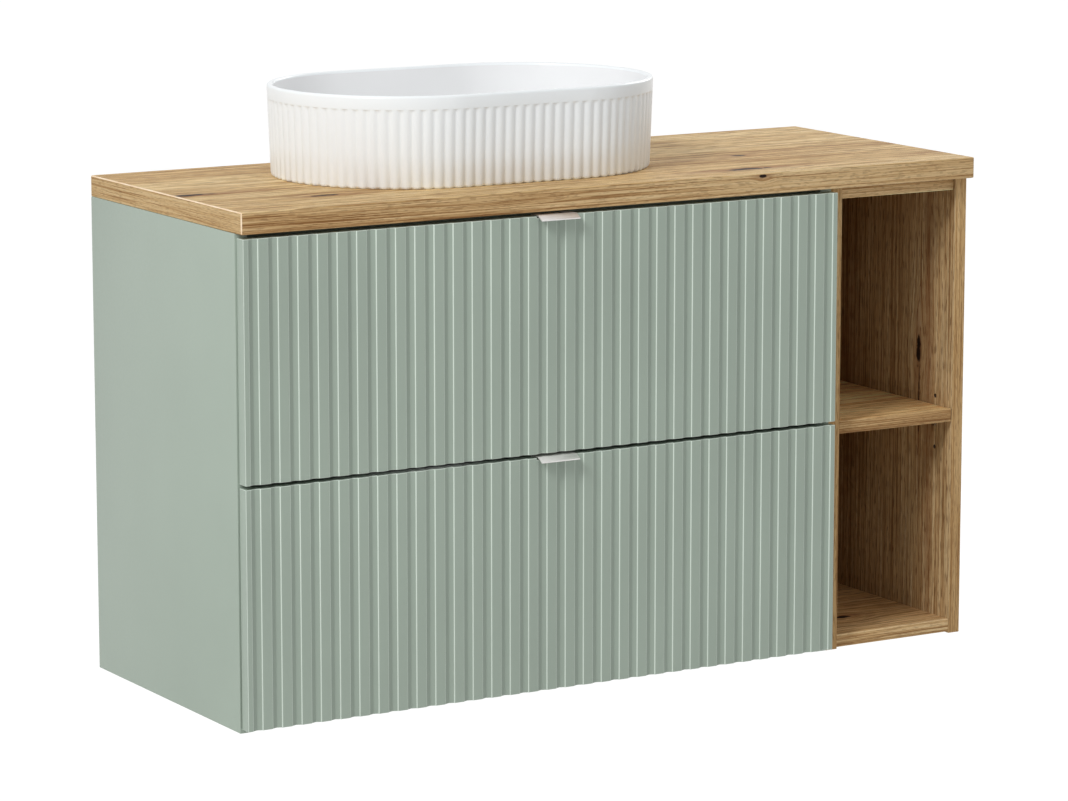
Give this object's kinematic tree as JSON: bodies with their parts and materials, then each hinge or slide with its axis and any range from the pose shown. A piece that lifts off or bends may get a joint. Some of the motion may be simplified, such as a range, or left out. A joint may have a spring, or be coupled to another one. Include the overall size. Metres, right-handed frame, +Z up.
{
  "type": "vessel sink on vanity",
  "caption": "Wall-hung vanity with two fluted drawers, an open shelf unit, an oak worktop and a ribbed oval vessel basin.",
  "frame": {"origin": "on the wall plane, at the middle of the overall width, level with the underside of the side panels", "axes": "+X to the viewer's right along the width, +Y back into the wall, +Z up"},
  "size_m": [1, 0.4009, 0.703],
  "materials": {
    "sage_lacquer": "matt lacquer on fibreboard",
    "oak": "light oak decor, matt",
    "white_ceramic": "matt white glaze",
    "anodised_pull": "brushed, anodised",
    "cage_polymer": "moulded",
    "grey_plastic": "moulded",
    "zinc_steel": "zinc plated",
    "nickel_pins": "nickel plated",
    "drawer_board": "light grey faced board",
    "chrome": "polished"
  },
  "bodies": {
    "root": {"basin": "white_ceramic", "cabinet_back": "drawer_board", "cabinet_bottom": "sage_lacquer", "cabinet_hangers": "zinc_steel", "cabinet_side_left": "sage_lacquer", "cabinet_side_right": "sage_lacquer", "lower_back_rail": "sage_lacquer", "lower_runner_cabinet_member_left": "zinc_steel", "lower_runner_cabinet_member_right": "zinc_steel", "outlet_pipe": "chrome", "shelf_board": "oak", "shelf_pins": "nickel_pins", "shelf_side_left": "oak", "shelf_side_right": "oak", "shelf_unit_back": "oak", "shelf_unit_bottom": "oak", "shelf_unit_top": "oak", "top_back_rail": "sage_lacquer", "top_front_rail": "sage_lacquer", "trap_body": "chrome", "trap_collar_nuts": "chrome", "trap_cup": "chrome", "trap_inlet_tube": "chrome", "upper_runner_cabinet_member_left": "zinc_steel", "upper_runner_cabinet_member_right": "zinc_steel", "wall_plates": "zinc_steel", "waste_body": "chrome", "waste_lock_nut": "chrome", "worktop": "oak"},
    "waste_plug": {"waste_plug": "chrome"},
    "upper_drawer": {"upper_drawer_back_left": "drawer_board", "upper_drawer_back_right": "drawer_board", "upper_drawer_bottom": "drawer_board", "upper_drawer_front": "sage_lacquer", "upper_drawer_pull": "anodised_pull", "upper_drawer_side_left": "drawer_board", "upper_drawer_side_right": "drawer_board", "upper_drawer_trap_liner": "grey_plastic", "upper_runner_drawer_member_left": "zinc_steel", "upper_runner_drawer_member_right": "zinc_steel"},
    "upper_runner_middles": {"upper_runner_ball_cages": "cage_polymer", "upper_runner_middle_member_left": "zinc_steel", "upper_runner_middle_member_right": "zinc_steel"},
    "lower_drawer": {"lower_drawer_back": "drawer_board", "lower_drawer_bottom": "drawer_board", "lower_drawer_front": "sage_lacquer", "lower_drawer_pull": "anodised_pull", "lower_drawer_side_left": "drawer_board", "lower_drawer_side_right": "drawer_board", "lower_runner_drawer_member_left": "zinc_steel", "lower_runner_drawer_member_right": "zinc_steel"},
    "lower_runner_middles": {"lower_runner_ball_cages": "cage_polymer", "lower_runner_middle_member_left": "zinc_steel", "lower_runner_middle_member_right": "zinc_steel"}
  },
  "joints": [
    {"name": "upper_drawer_slide", "type": "slide", "parent": "root", "child": "upper_drawer", "axis": [0, -1, 0], "range_m": [0, 0.3]},
    {"name": "upper_runner_slide", "type": "slide", "parent": "root", "child": "upper_runner_middles", "axis": [0, -1, 0], "range_m": [0, 0.15]},
    {"name": "lower_drawer_slide", "type": "slide", "parent": "root", "child": "lower_drawer", "axis": [0, -1, 0], "range_m": [0, 0.3]},
    {"name": "lower_runner_slide", "type": "slide", "parent": "root", "child": "lower_runner_middles", "axis": [0, -1, 0], "range_m": [0, 0.15]},
    {"name": "waste_plug_lift", "type": "slide", "parent": "root", "child": "waste_plug", "axis": [0, 0, 1], "range_m": [0, 0.009]}
  ],
  "couplings": [
    {"joint": "upper_runner_slide", "follows": "upper_drawer_slide", "ratio": 0.5},
    {"joint": "lower_runner_slide", "follows": "lower_drawer_slide", "ratio": 0.5}
  ]
}
